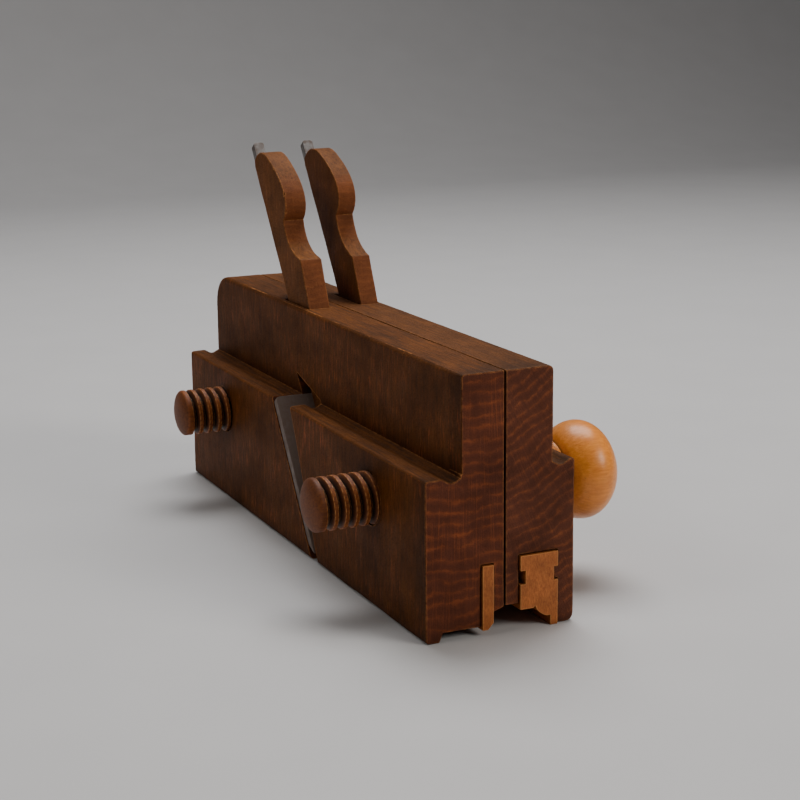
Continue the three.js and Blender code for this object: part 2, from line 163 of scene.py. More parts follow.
def bezier(start, control, end, steps=6):
    """Points after the start along a curve bent toward one control point."""
    points = []
    for i in range(1, steps + 1):
        t = i / steps
        points.append(tuple(
            (1 - t) ** 2 * s + 2 * t * (1 - t) * c + t * t * e for s, c, e in zip(start, control, end)
        ))
    return points


def circle(a, b, radius, segments):
    """Points round a circle with its centre at (a, b)."""
    turns = [2 * math.pi * i / segments for i in range(segments)]
    return [(a + radius * math.cos(turn), b + radius * math.sin(turn)) for turn in turns]


def skin(bm, rings):
    """Faces between neighbouring rings of points and over both ends."""
    count = len(rings[0])
    for low, high in zip(rings, rings[1:]):
        for i in range(count):
            j = (i + 1) % count
            bm.faces.new((low[i], low[j], high[j], high[i]))
    bm.faces.new(rings[0])
    bm.faces.new(rings[-1])


def prism(name, outline, to_point, near, far):
    """A closed outline swept from near to far; to_point(a, b, distance) places each corner."""
    bm = bmesh.new()
    rings = []
    for distance in (near, far):
        rings.append([bm.verts.new(to_point(p[0], p[1], distance)) for p in outline])
    first, last = rings
    count = len(outline)
    for i in range(count):
        j = (i + 1) % count
        bm.faces.new((first[i], first[j], last[j], last[i]))
    bm.faces.new(first)
    bm.faces.new(list(reversed(last)))
    return object_from(name, bm)


def along_length(a, b, distance):
    """For outlines drawn in (x, z) and swept from toe to heel."""
    return place(a, distance, b)


def across(a, b, distance):
    """For outlines drawn in (y, z) and swept sideways."""
    return place(distance, a, b)


def baked(piece):
    """Applies the modifiers of a piece to its mesh."""
    graph = bpy.context.evaluated_depsgraph_get()
    mesh = bpy.data.meshes.new_from_object(piece.evaluated_get(graph))
    piece.modifiers.clear()
    piece.data = mesh
    return piece


def cut(piece, *cutters):
    """Takes the cutters out of a piece, one after another, and removes them."""
    for cutter in cutters:
        boolean = piece.modifiers.new("cut", "BOOLEAN")
        boolean.operation = "DIFFERENCE"
        boolean.solver = "EXACT"
        boolean.object = cutter
        baked(piece)
        bpy.data.objects.remove(cutter)
    return piece


def soften(piece, width, segments=3, angle=EDGE_ANGLE):
    """Rounds the sharp edges, after joining coplanar faces so that the rounding runs clean."""
    bm = bmesh.new()
    bm.from_mesh(piece.data)
    bmesh.ops.remove_doubles(bm, verts=bm.verts, dist=0.002 * MM)
    bmesh.ops.dissolve_limit(bm, angle_limit=math.radians(0.3), verts=bm.verts, edges=bm.edges)
    sharp = [e for e in bm.edges if e.is_manifold and e.is_convex and e.calc_face_angle() > angle]
    bmesh.ops.bevel(
        bm, geom=sharp, offset=width * MM, segments=segments, profile=0.6, affect="EDGES",
        clamp_overlap=False,
    )
    bm.to_mesh(piece.data)
    bm.free()
    return piece


def slice_along(piece, spacing, axis=(0, 1, 0)):
    """Adds cross lines every so many millimetres so that hand-worked unevenness can be modelled."""
    normal = Vector(axis)
    bm = bmesh.new()
    bm.from_mesh(piece.data)
    reach = [v.co.dot(normal) for v in bm.verts]
    count = int((max(reach) - min(reach)) / (spacing * MM))
    for i in range(1, count):
        level = normal * (min(reach) + i * spacing * MM)
        geometry = bm.verts[:] + bm.edges[:] + bm.faces[:]
        bmesh.ops.bisect_plane(bm, geom=geometry, plane_co=level, plane_no=normal, dist=0.01 * MM)
    bm.to_mesh(piece.data)
    bm.free()
    return piece


def grid(piece):
    """Cross lines in all three directions, which also keep the end faces from folding."""
    for axis in ((0, 1, 0), (1, 0, 0), (0, 0, 1)):
        slice_along(piece, 5, axis)
    return piece


def weather(piece, depth, scale, seed):
    """Moves the surface in and out by smooth noise, as old hand-worked wood does."""
    offset = Vector((seed, 2.3 * seed, 5.1 * seed))
    mesh = piece.data
    normals = [vertex.normal.copy() for vertex in mesh.vertices]
    moved = []
    for vertex, normal in zip(mesh.vertices, normals):
        wave = noise.noise(vertex.co / (scale * MM) + offset)
        moved.extend(vertex.co + normal * wave * depth * MM)
    mesh.vertices.foreach_set("co", moved)
    mesh.update()
    return piece


def chip(piece, centre, size, seed):
    """A small broken-out flake: an uneven pebble taken out of an edge."""
    bm = bmesh.new()
    bmesh.ops.create_icosphere(bm, subdivisions=2, radius=MM)
    for vertex in bm.verts:
        vertex.co *= 1 + 0.35 * noise.noise(vertex.co / (0.8 * MM) + Vector((seed, 0, 0)))
        stretched = [along * factor for along, factor in zip(vertex.co, size)]
        vertex.co = Vector(stretched) + centre
    return cut(piece, object_from("chip", bm))


def smooth(piece, angle=EDGE_ANGLE):
    """Smooth shading between sharp edges, weighted so that the flats stay flat."""
    for polygon in piece.data.polygons:
        polygon.use_smooth = True
    piece.data.set_sharp_from_angle(angle=angle)
    weighted = piece.modifiers.new("weighted", "WEIGHTED_NORMAL")
    weighted.keep_sharp = True
    weighted.weight = 100
    return baked(piece)


def finish_piece(piece, body, slot, material, *nodes):
    """Gives a piece its material and its body and hides the nodes that it stands for; slot is not
    used.
    """
    piece.data.materials.clear()
    piece.data.materials.append(material)
    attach(piece, body)
    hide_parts(*nodes)
    return piece


# ---- stock halves ----

def bed_at(z):
    """The bed line, on which the irons lie, as (y, z)."""
    return (BED_FOOT + z / math.tan(BED_ANGLE), z)


def front_at(z):
    """The line of the mouth's front wall, which the wedges bear on, as (y, z)."""
    return (FRONT_FOOT + z / math.tan(FRONT_ANGLE), z)


def span(half, near, far):
    """Two distances from the joint as x values on a half's own side, the lower one first."""
    return sorted((half["side"] * near, half["side"] * far))


def mirrored(half, points):
    return [(half["side"] * x, z, radius) for x, z, radius in points]


def upper_outline(half, joint_bottom):
    """Joint face, top, wall and coved step of a half, as (x, z, corner radius)."""
    outer, wall, step = half["outer"], half["wall"], half["step"]
    joint = JOINT_GAP / 2
    return [
        (joint, joint_bottom, 0), (joint, HEIGHT, 0), (wall, HEIGHT, 2.0),
        (wall, step - 0.2, 0), (wall + 3.4, step - 2.0, 3.0), (wall + 6.4, step + 0.1, 3.0),
        (outer, step, 1.2),
    ]


def escapement(half, iron):
    """The opening at the side that shavings leave by."""
    roof = half["step"] + 1
    outline = [
        front_at(-OVERRUN), front_at(roof),
        bed_at(half["step"] + ESCAPEMENT_RISE), bed_at(-OVERRUN),
    ]
    return prism(
        "escapement", outline, across, *span(half, iron["near"], half["outer"] + OVERRUN))


def mortise(half, iron):
    """The hole that the wedge and the iron's tang go through, set just behind the bed."""
    low, high = MORTISE["low"], MORTISE["high"]
    bed_low, bed_high = ((y + MORTISE["back"], z) for y, z in (bed_at(low), bed_at(high)))
    outline = [front_at(low), front_at(high), bed_high, bed_low]
    return prism("mortise", outline, across, *span(half, iron["mortise_near"], iron["mortise_far"]))


def heel_corner(half):
    """What is taken off the top of the heel to round it."""
    steps = 10
    y, z = LENGTH - HEEL_RADIUS, HEIGHT - HEEL_RADIUS
    arc = []
    for i in range(steps + 1):
        turn = i / steps * math.pi / 2
        arc.append((y + HEEL_RADIUS * math.cos(turn), z + HEEL_RADIUS * math.sin(turn)))
    outside = [(y, HEIGHT + OVERRUN), (LENGTH + OVERRUN, HEIGHT + OVERRUN), (LENGTH + OVERRUN, z)]
    return prism("heel_corner", arc + outside, across, *span(half, -5, OUTSIDE))


def toe_relief(half):
    """The worn slope at the toe end of the upper wall."""
    side, wall = half["side"], half["wall"]
    clear = side * (wall + 1)
    slope = [(side * (wall - depth), y) for y, depth in TOE_WEAR]
    plan = [(clear, TOE_WEAR[0][0]), *slope, (clear, TOE_WEAR[-1][0])]
    return prism("toe_relief", plan, place, half["step"] + 1, HEIGHT + OVERRUN)


def neck_hole(spot):
    """The cutter for the plain hole that a screw's neck turns in."""
    ring = circle(spot["y"], SCREW_HEIGHT, NECK_HOLE_RADIUS, 64)
    return prism("neck_hole", ring, across, -2, OUTSIDE)


def aged_stock(stock, seed):
    """The unevenness of old wood, over the whole of a stock half."""
    grid(stock)
    weather(stock, depth=0.16, scale=13, seed=seed)
    return smooth(stock)


def rabbet_stock():
    """The left half: its sole is a flat rabbet, with a slot for the boxing near the joint."""
    half = RABBET
    sole = [
        (half["outer"], 0, 1.4), (24.2, 0, 0), (22.9, 3.1, 0),
        (8.9, 3.1, 0), (8.9, 24.7, 0), (4.4, 24.7, 0), (4.4, 7.6, 0),
    ]
    outline = fillet(mirrored(half, upper_outline(half, 9.0) + sole))
    stock = prism("rabbet_stock_wood", outline, along_length, 0, LENGTH)
    cut(stock, heel_corner(half), toe_relief(half))
    soften(stock, width=0.45)
    cut(stock, escapement(half, RABBET_IRON), mortise(half, RABBET_IRON))
    for spot in (FRONT_SCREW, REAR_SCREW):
        cut(stock, tapped_hole(spot))
    return aged_stock(stock, seed=1.0)


def moulding_stock():
    """The right half: a keyed slot holds the boxing that carries its moulded sole."""
    half = MOULDING
    sole = [
        (half["outer"], 0, 4.0), (20.0, 0, 0), (20.0, 16.2, 0), (18.5, 16.2, 0), (18.5, 20.5, 0),
        (20.0, 20.5, 0), (20.0, 26.2, 0), (5.3, 26.2, 0), (5.3, 9.3, 0),
    ]
    outline = fillet(mirrored(half, upper_outline(half, 9.3) + sole))
    stock = prism("moulding_stock_wood", outline, along_length, 0, LENGTH)
    cut(stock, heel_corner(half))
    soften(stock, width=0.45)
    cut(stock, escapement(half, MOULDING_IRON), mortise(half, MOULDING_IRON))
    for spot in (FRONT_SCREW, REAR_SCREW):
        cut(stock, neck_hole(spot))
        cut(stock, pin_solid("pin_hole", spot, PIN["clearance"], half["step"] + OVERRUN))
    return aged_stock(stock, seed=2.0)


# ---- boxing ----

RABBET_BOXING = [(8.7, 2.0, 0), (6.6, 2.0, 0), (4.6, 4.3, 0), (4.6, 24.5, 0), (8.7, 24.5, 0)]


def moulding_sole():
    """The moulded sole from the joint outward: flat, quirk, ovolo and fillet, as (x, z)."""
    ovolo = bezier((11.8, 6.4), (13.3, 4.4), (15.5, 3.6))
    return [(5.5, 7.1), (10.6, 7.1), (11.1, 7.8), (11.8, 6.4), *ovolo, (17.0, 3.6)]


def moulding_boxing_outline():
    """The moulded sole and, above it, the body with its keys, as (x, z, corner radius)."""
    body = [
        (17.0, 0), (19.8, 0), (19.8, 16.0), (18.3, 16.0), (18.3, 20.7), (19.8, 20.7),
        (19.8, 26.0), (5.5, 26.0), (5.5, 20.7), (7.4, 20.7), (7.4, 16.0), (5.5, 16.0),
    ]
    return [(x, z, 0) for x, z in moulding_sole() + body]


def mouth_block(half, ahead):
    """The region on one side of the mouth that a boxing piece is not in."""
    low, high = -OVERRUN, 60
    beyond = 20
    if ahead:
        end = LENGTH + beyond
        outline = [front_at(low), (end, low), (end, high), front_at(high)]
    else:
        outline = [(-beyond, low), bed_at(low), bed_at(high), (-beyond, high)]
    return prism("mouth_block", outline, across, *span(half, 0, OUTSIDE))


def boxing(name, half, outline, ahead):
    """A strip of boxing, ahead of the mouth or behind it, standing proud at the toe."""
    strip = prism(name, fillet(mirrored(half, outline)), along_length, -BOXING_PROUD, LENGTH)
    cut(strip, mouth_block(half, ahead))
    soften(strip, width=0.22, segments=2)
    slice_along(strip, 6)
    weather(strip, depth=0.04, scale=7, seed=3.0)
    return smooth(strip)


# ---- irons ----

def up_bed(height):
    """How far up the bed an iron's front face reaches a height."""
    offset = FIT + IRON_THICKNESS
    return (height - offset * math.cos(BED_ANGLE)) / math.sin(BED_ANGLE)


def on_bed(x, up, off):
    """A point from its x, its distance up the bed and its height off the bed."""
    y = BED_FOOT + up * math.cos(BED_ANGLE) - off * math.sin(BED_ANGLE)
    z = up * math.sin(BED_ANGLE) + off * math.cos(BED_ANGLE)
    return place(x, y, z)


def below_edge(edge):
    """Everything under a cutting edge, swept back and up at the relief angle."""
    relief = math.tan(RELIEF_ANGLE)
    squeeze = 1 - relief / math.tan(BED_ANGLE)
    face_foot = BED_FOOT - (FIT + IRON_THICKNESS) / math.sin(BED_ANGLE)

    def swept(x, z, distance):
        return place(x, face_foot + distance, squeeze * z + relief * distance)

    (first_x, first_z), (last_x, last_z) = edge[0], edge[-1]
    outward = OVERRUN if last_x > first_x else -OVERRUN
    low = -20
    around = [
        (last_x + outward, last_z), (last_x + outward, low),
        (first_x - outward, low), (first_x - outward, first_z),
    ]
    return prism("below_edge", edge + around, swept, -20, OUTSIDE)


def iron(name, half, spot, edge):
    """A flat iron: a wide blade, a shoulder and a narrow tang."""
    side = half["side"]
    shoulder, top = up_bed(IRON_SHOULDER), up_bed(IRON_TOP)
    near = side * (spot["near"] + FIT)
    far = side * (half["outer"] - FIT)
    tang_near, tang_far = (side * distance for distance in spot["tang"])
    outline = fillet([
        (near, -OVERRUN, 0), (far, -OVERRUN, 0), (far, shoulder, 1.5), (tang_far, shoulder, 0.8),
        (tang_far, top, 1.3), (tang_near, top, 1.3), (tang_near, shoulder, 0), (near, shoulder, 0),
    ])
    plate = prism(name, outline, on_bed, FIT, FIT + IRON_THICKNESS)
    cut(plate, below_edge(edge))
    soften(plate, width=0.25, segments=2)
    return smooth(plate)


def rabbet_iron():
    """Its edge follows the boxing and the flat of the rabbet."""
    edge = [(-4.6, 1.65), (-7.7, 1.65), (-8.7, 2.75), (-29.2, 2.75)]
    return iron("rabbet_iron_steel", RABBET, RABBET_IRON, edge)


def moulding_iron():
    """Its edge follows the moulded sole and runs out level past it."""
    edge = [(x, z - EDGE_PROUD) for x, z in moulding_sole()] + [(MOULDING["outer"], 3.25)]
    return iron("moulding_iron_steel", MOULDING, MOULDING_IRON, edge)


# ---- wedges ----

def wedge_outline(head):
    """(Distance up the iron from the stock's top, distance off the iron's face)."""
    taper = math.tan(FRONT_ANGLE - BED_ANGLE)
    mouth = BED_FOOT - FRONT_FOOT

    def front_edge(u):
        run = u + up_bed(HEIGHT) + mouth * math.cos(BED_ANGLE)
        return mouth * math.sin(BED_ANGLE) + run * taper - 2 * FIT - IRON_THICKNESS

    tip, front_start = -90, -78
    lip = (WEDGE_SHOULDER + 1.4, front_edge(WEDGE_SHOULDER) - 1.2)
    neck, waist = (20, 0.63 * head), (28, 0.68 * head)
    nose, crown = (36.5, head), (57, 0.67 * head)
    return [
        (tip, FIT), (tip, 1.5), (front_start, front_edge(front_start)),
        (WEDGE_SHOULDER, front_edge(WEDGE_SHOULDER)), lip,
        *bezier(lip, (14, 0.66 * head), neck),
        *bezier(neck, (24.5, 0.62 * head), waist, 4),
        *bezier(waist, (29, 0.97 * head), nose),
        *bezier(nose, (44, head), crown),
        *bezier(crown, (66, 0.4 * head), (63.5, 0.06 * head)),
        (61, FIT),
    ]


def wedge(name, half, spot, head, chips=()):
    """A wedge with its rounded, notched head, lying on the front face of its iron."""
    near, far = span(half, spot["mortise_near"] + FIT, spot["mortise_far"] - FIT)

    def to_point(u, v, distance):
        return on_bed(distance, u + up_bed(HEIGHT), v + FIT + IRON_THICKNESS)

    block = prism(name, wedge_outline(head), to_point, near, far)
    soften(block, width=0.45)
    for up, share, size in chips:
        chip(block, to_point(up, share * head, near), size, seed=up)
    along_grain = (0, 0.57, 0.82)
    slice_along(block, 4, along_grain)
    weather(block, depth=0.14, scale=9, seed=4.0)
    return smooth(block)


# ---- screws ----

def blend(first, last, share):
    return first + share * (last - first)


def bulge(radius, offset, reach):
    """Radius of a turned half ellipsoid at an offset from its widest place."""
    along = min(offset / reach, 1)
    return max(radius * math.sqrt(1 - along * along), POLE_RADIUS)


def thread_radius(x, turn, start, clearance):
    """Radius of a right-handed thread at a place along the axis and round it."""
    pitch, crest, major, root = THREAD["pitch"], THREAD["crest"], THREAD["major"], THREAD["root"]
    phase = (x - start - pitch * turn / (2 * math.pi)) / pitch
    distance = abs(phase - round(phase)) * pitch
    flank = (pitch - crest - THREAD["valley"]) / 2
    depth = min(max((distance - crest / 2 - clearance) / flank, 0), 1)
    return major + clearance - depth * (major - root)


def thread_start(spot):
    """Where the first crest stands, so that screw and tapped hole keep the same phase."""
    return spot["rim"] + LAND["length"] + THREAD["pitch"] / 2


def lathe_solid(name, y, stations, radius_at, segments):
    """A solid of revolution whose radius may also depend on the angle."""
    turns = [2 * math.pi * i / segments for i in range(segments)]
    bm = bmesh.new()
    rings = []
    for x in stations:
        ring = []
        for turn in turns:
            radius = radius_at(x, turn)
            point = place(x, y + radius * math.cos(turn), SCREW_HEIGHT + radius * math.sin(turn))
            ring.append(bm.verts.new(point))
        rings.append(ring)
    skin(bm, rings)
    return object_from(name, bm)


def tapped_hole(spot):
    """The cutter for a tapped hole, running right through a half and out past both faces."""
    count = int((TAP["high"] - TAP["low"]) / TAP["spacing"])
    stations = [TAP["low"] + i * TAP["spacing"] for i in range(count + 1)]

    def radius_at(x, turn):
        return thread_radius(x, turn, thread_start(spot), TAP["clearance"])

    return lathe_solid("tapped_hole", spot["y"], stations, radius_at, TAP["segments"])


def collar_radius(x):
    for (x0, r0), (x1, r1) in zip(COLLAR, COLLAR[1:]):
        if x <= x1:
            return blend(r0, r1, (x - x0) / (x1 - x0))


def turned_radius(x):
    """Radius beyond the thread: plain neck, groove for the pin, collar and knob."""
    major, centre = THREAD["major"], KNOB["centre"]
    if x < GROOVE["low"] or GROOVE["high"] < x < COLLAR[0][0]:
        return major
    if x <= GROOVE["high"]:
        edge = min(x - GROOVE["low"], GROOVE["high"] - x)
        return major - min(edge / GROOVE["flank"], 1) * (major - GROOVE["radius"])
    if x <= COLLAR[-1][0]:
        return collar_radius(x)
    return bulge(KNOB["radius"], abs(x - centre), KNOB["back"] if x < centre else KNOB["front"])


def screw_radius(x, turn, spot):
    """Radius of the whole screw: dome, land, thread and turned part."""
    rim, major, end = spot["rim"], THREAD["major"], THREAD_END["x"]
    if x < rim:
        return bulge(major, rim - x, DOME_HEIGHT)
    if x < end:
        rise = min(max((x - rim - LAND["length"]) / LAND["rise"], 0), 1)
        return blend(major, thread_radius(x, turn, thread_start(spot), 0), rise)
    if x < end + THREAD_END["fade"]:
        return blend(THREAD["root"], major, (x - end) / THREAD_END["fade"])
    return turned_radius(x)


def screw_stations(rim):
    """Places along the axis that get a ring of points, close together on the thread."""
    dome_steps, knob_steps = 14, 30
    stations = []
    for i in range(dome_steps + 1):
        stations.append(rim - DOME_HEIGHT * math.cos(i / dome_steps * math.pi / 2))
    count = int((GROOVE["high"] + 0.2 - rim) / THREAD["spacing"])
    stations += [rim + (i + 1) * THREAD["spacing"] for i in range(count)]
    before_collar = COLLAR[0][0] - 0.02
    stations += [before_collar, *(x for x, _ in COLLAR)]
    for i in range(knob_steps + 1):
        angle = blend(KNOB["first_angle"], math.pi / 2, i / knob_steps)
        reach = KNOB["back"] if angle < 0 else KNOB["front"]
        stations.append(KNOB["centre"] + reach * math.sin(angle))
    return sorted(set(round(x, 4) for x in stations))


def screw(name, spot):
    def radius_at(x, turn):
        return screw_radius(x, turn, spot)

    piece = lathe_solid(name, spot["y"], screw_stations(spot["rim"]), radius_at, 96)
    weather(piece, depth=0.06, scale=11, seed=6.0 + spot["y"])
    return smooth(piece, THREAD_EDGE_ANGLE)


def pin_solid(name, spot, clearance, top):
    """The upright pin in a screw's groove or, with clearance, the cutter for its hole."""
    radius, chamfer = PIN["radius"] + clearance, PIN["chamfer"]
    levels = (
        (PIN["bottom"] - clearance, radius), (top - chamfer, radius), (top, radius - chamfer),
    )
    bm = bmesh.new()
    rings = []
    for z, ring_radius in levels:
        ring = circle(PIN["x"], spot["y"] + THREAD["major"], ring_radius, 32)
        rings.append([bm.verts.new(place(x, y, z)) for x, y in ring])
    skin(bm, rings)
    return object_from(name, bm)


# ---- materials ----

class Graph:
    """Builds a material's nodes; sockets and plain numbers are both taken as inputs."""

    def __init__(self, name):
        self.material = bpy.data.materials.new(name)
        self.material.use_nodes = True
        self.nodes = self.material.node_tree.nodes
        self.links = self.material.node_tree.links
        self.shader = self.nodes["Principled BSDF"]
        self.coords = self.nodes.new("ShaderNodeTexCoord")

    def feed(self, socket, value):
        if isinstance(value, bpy.types.NodeSocket):
            self.links.new(value, socket)
        else:
            socket.default_value = value

    def math(self, operation, *values, clamp=False):
        node = self.nodes.new("ShaderNodeMath")
        node.operation = operation
        node.use_clamp = clamp
        for socket, value in zip(node.inputs, values):
            self.feed(socket, value)
        return node.outputs[0]

    def vector(self, operation, *values):
        node = self.nodes.new("ShaderNodeVectorMath")
        node.operation = operation
        for socket, value in zip(node.inputs, values):
            self.feed(socket, value)
        return node.outputs["Value"] if operation in ("LENGTH", "DOT_PRODUCT") else node.outputs[0]

    def combine(self, x, y, z):
        node = self.nodes.new("ShaderNodeCombineXYZ")
        for socket, value in zip(node.inputs, (x, y, z)):
            self.feed(socket, value)
        return node.outputs[0]

    def separate(self, vector):
        node = self.nodes.new("ShaderNodeSeparateXYZ")
        self.feed(node.inputs[0], vector)
        return node.outputs

    def noise(self, vector, scale=1.0, detail=2.0, roughness=0.5):
        node = self.nodes.new("ShaderNodeTexNoise")
        self.feed(node.inputs["Vector"], vector)
        node.inputs["Scale"].default_value = scale
        node.inputs["Detail"].default_value = detail
        node.inputs["Roughness"].default_value = roughness
        return node.outputs["Fac"]

    def grain(self, point, stretch, detail, roughness=0.5):
        """Noise with its own scale along each axis; a low scale draws it out."""
        return self.noise(self.vector("MULTIPLY", point, stretch), 1.0, detail, roughness)

    def ramp(self, value, *stops):
        """Grey levels between stops given as (position, level)."""
        node = self.nodes.new("ShaderNodeValToRGB")
        elements = node.color_ramp.elements
        while len(elements) < len(stops):
            elements.new(0.5)
        for element, (position, level) in zip(elements, stops):
            element.position = position
            element.color = (level, level, level, 1)
        self.feed(node.inputs[0], value)
        return node.outputs[0]

    def mix(self, factor, first, second, blend="MIX"):
        node = self.nodes.new("ShaderNodeMix")
        node.data_type = "RGBA"
        node.blend_type = blend
        node.clamp_factor = True
        self.feed(node.inputs[0], factor)
        self.feed(node.inputs[6], first)
        self.feed(node.inputs[7], second)
        return node.outputs[2]

    def shade(self, colour, level):
        """A colour darkened or lightened by multiplying it by a level."""
        return self.mix(1.0, colour, level, "MULTIPLY")

    def millimetres(self):
        return self.vector("MULTIPLY", self.coords.outputs["Object"], (1000, 1000, 1000))

    def edges(self, radius, full=0.14):
        """1 on edges and 0 on flats; used for worn edges and for painted highlights."""
        bevel = self.nodes.new("ShaderNodeBevel")
        bevel.samples = 8
        bevel.inputs["Radius"].default_value = radius * MM
        geometry = self.nodes.new("ShaderNodeNewGeometry")
        dot = self.vector("DOT_PRODUCT", bevel.outputs[0], geometry.outputs["Normal"])
        return self.ramp(self.math("SUBTRACT", 1, dot), (0.01, 0), (full, 1))

    def painted_corner_shade(self, distance):
        """For painted shade: 0 deep in corners and 1 in the open, from ambient occlusion."""
        node = self.nodes.new("ShaderNodeAmbientOcclusion")
        node.samples = 6
        node.inputs["Distance"].default_value = distance * MM
        return node.outputs["AO"]

    def bump(self, height, strength, distance):
        node = self.nodes.new("ShaderNodeBump")
        node.inputs["Strength"].default_value = strength
        node.inputs["Distance"].default_value = distance * MM
        self.feed(node.inputs["Height"], height)
        self.feed(self.shader.inputs["Normal"], node.outputs[0])


def srgb(red, green, blue):
    """A colour given as 0 to 255 in sRGB, turned linear."""
    def linear(value):
        value /= 255
        return value / 12.92 if value <= 0.04045 else ((value + 0.055) / 1.055) ** 2.4
    return (linear(red), linear(green), linear(blue), 1)


def facing(g, axis):
    """1 on faces that look along an axis and 0 on the others."""
    normal = g.separate(g.coords.outputs["Normal"])
    return g.ramp(g.math("ABSOLUTE", normal[axis]), (0.55, 0), (0.8, 1))


def round_the_pith(g, point, pith):
    """Distance from a wandering pith line that runs lengthwise, and the way round it."""
    x, _, z = g.separate(point)
    rx = g.math("SUBTRACT", x, pith[0] + JOINT_X / MM)
    rz = g.math("SUBTRACT", z, pith[1])
    wander = g.math("MULTIPLY", g.grain(point, (0.05, 0.008, 0.05), 4, 0.6), 11)
    radius = g.math("ADD", g.vector("LENGTH", g.combine(rx, 0, rz)), wander)
    turn = g.math("MULTIPLY", g.math("ARCTAN2", rx, g.math("MULTIPLY", rz, -1)), 130)
    return radius, turn


def ring_lines(g, radius, turn, y, spacing):
    """Growth rings: dark at the edge of each year and broken here and there."""
    ring = g.math("FRACT", g.math("DIVIDE", radius, spacing))
    line = g.ramp(ring, (0.0, 0.9), (0.2, 0.3), (0.45, 0.0), (0.8, 0.15), (1.0, 0.9))
    place_round = g.combine(g.math("MULTIPLY", turn, 0.3), g.math("MULTIPLY", radius, 0.12), y)
    broken = g.noise(place_round, 1.0, 4, 0.7)
    return g.math("MULTIPLY", line, g.ramp(broken, (0.34, 0.05), (0.66, 1.0)))


def ray_lines(g, radius, turn, y):
    """Noise drawn out along the rays, which run from the pith across the rings."""
    return g.noise(g.combine(
        g.math("MULTIPLY", turn, 3.6), g.math("MULTIPLY", radius, 0.05),
        g.math("MULTIPLY", y, 0.3)), 1.0, 3, 0.6)


def beech_sides(g, point, base, light, line):
    """Long grain: flecked on the side faces and streaked on the top and sole."""
    blotch = g.grain(point, (0.05, 0.035, 0.05), 5, 0.65)
    mottle = g.grain(point, (0.5, 0.5, 0.1), 5, 0.7)
    fleck = g.grain(point, (1.2, 1.0, 0.13), 3, 0.65)
    flecked = g.math(
        "MULTIPLY", g.ramp(fleck, (0.54, 0), (0.7, 0.8)), g.ramp(blotch, (0.42, 0.15), (0.6, 1.0)))
    side = g.mix(g.ramp(mottle, (0.3, 0.1), (0.7, 0.62)), base, light)
    side = g.mix(flecked, side, line)
    streak = g.grain(point, (1.1, 0.05, 1.1), 4, 0.7)
    top = g.mix(g.ramp(streak, (0.34, 0), (0.66, 0.85)), base, light)
    return g.mix(facing(g, 0), top, side), blotch, mottle


def beech_wear_and_shade(g, point, colour, endwise, worn):
    """Painted shade near the toe, edges that rub light, and painted shade in the corners."""
    y = g.separate(point)[1]
    from_toe = g.math("DIVIDE", g.math("SUBTRACT", y, TOE_Y / MM), 12)
    # Painted shade: every face except the end grain is darker near the toe, standing in for the shade
    # on the worn slope there.
    toe_painted_shade = g.math("MAXIMUM", g.ramp(from_toe, (0.3, 0.62), (0.95, 1.0)), endwise)
    colour = g.shade(colour, toe_painted_shade)
    rubbed = g.math(
        "MULTIPLY", g.edges(1.0), g.ramp(g.noise(point, 0.5, 4, 0.7), (0.4, 0.1), (0.6, 0.95)))
    colour = g.mix(rubbed, colour, worn)
    # Painted shade: the colour is darkened in corners and recesses.
    return g.shade(colour, g.ramp(g.painted_corner_shade(6), (0.2, 0.2), (0.9, 1.0)))


def beech(name, pith, end_base, end_line, side_base, side_light, worn, ring_spacing=3.9):
    """Solid beech: growth rings round a pith line that runs lengthwise, crossed by rays."""
    g = Graph(name)
    point = g.millimetres()
    y = g.separate(point)[1]
    radius, turn = round_the_pith(g, point, pith)
    rings = ring_lines(g, radius, turn, y, ring_spacing)
    rays = ray_lines(g, radius, turn, y)
    end_mask = g.math(
        "ADD", g.math("MULTIPLY", rings, 0.62),
        g.math("MULTIPLY", g.ramp(rays, (0.52, 0), (0.74, 1)), 0.3))
    sides, blotch, mottle = beech_sides(g, point, side_base, side_light, end_line)
    endwise = facing(g, 1)
    colour = g.mix(endwise, sides, g.mix(end_mask, end_base, end_line))

    pores = g.grain(point, (3.2, 0.8, 3.2), 2, 0.7)
    colour = g.mix(g.ramp(pores, (0.32, 0.45), (0.52, 0.0)), colour, (0.010, 0.005, 0.002, 1))
    colour = g.shade(colour, g.ramp(blotch, (0.28, 0.62), (0.5, 0.95), (0.72, 1.25)))
    colour = beech_wear_and_shade(g, point, colour, endwise, worn)
    g.feed(g.shader.inputs["Base Color"], colour)
    uneven = g.math("ADD", g.math("MULTIPLY", pores, 0.5), g.math("MULTIPLY", blotch, 0.5))
    g.feed(g.shader.inputs["Roughness"], g.ramp(uneven, (0.3, 0.74), (0.7, 0.52)))
    g.shader.inputs["Specular IOR Level"].default_value = 0.12
    height = g.math("ADD", g.math("MULTIPLY", pores, 0.8), g.math("MULTIPLY", rays, 0.4))
    height = g.math("ADD", height, g.math("MULTIPLY", mottle, 0.7))
    g.bump(height, 0.5, 0.3)
    return g.material


def boxwood_strip(name):
    """Boxwood for the boxing and the pins: fine lengthwise lines and light, worn edges."""
    g = Graph(name)
    point = g.millimetres()
    fine = g.grain(point, (2.6, 0.12, 0.9), 4, 0.7)
    broad = g.grain(point, (0.15, 0.02, 0.15), 3)
    colour = g.mix(g.ramp(fine, (0.35, 0), (0.68, 1)), srgb(146, 78, 34), srgb(190, 112, 52))
    colour = g.shade(colour, g.ramp(broad, (0.3, 0.75), (0.7, 1.15)))
    colour = g.mix(g.math("MULTIPLY", g.edges(0.7), 0.7), colour, srgb(225, 160, 92))
    # Painted shade: the colour is darkened in corners and recesses.
    colour = g.shade(colour, g.ramp(g.painted_corner_shade(2), (0.3, 0.3), (0.9, 1.0)))
    g.feed(g.shader.inputs["Base Color"], colour)
    g.feed(g.shader.inputs["Roughness"], g.ramp(fine, (0.3, 0.5), (0.7, 0.38)))
    g.shader.inputs["Specular IOR Level"].default_value = 0.25
    g.bump(fine, 0.2, 0.12)
    return g.material


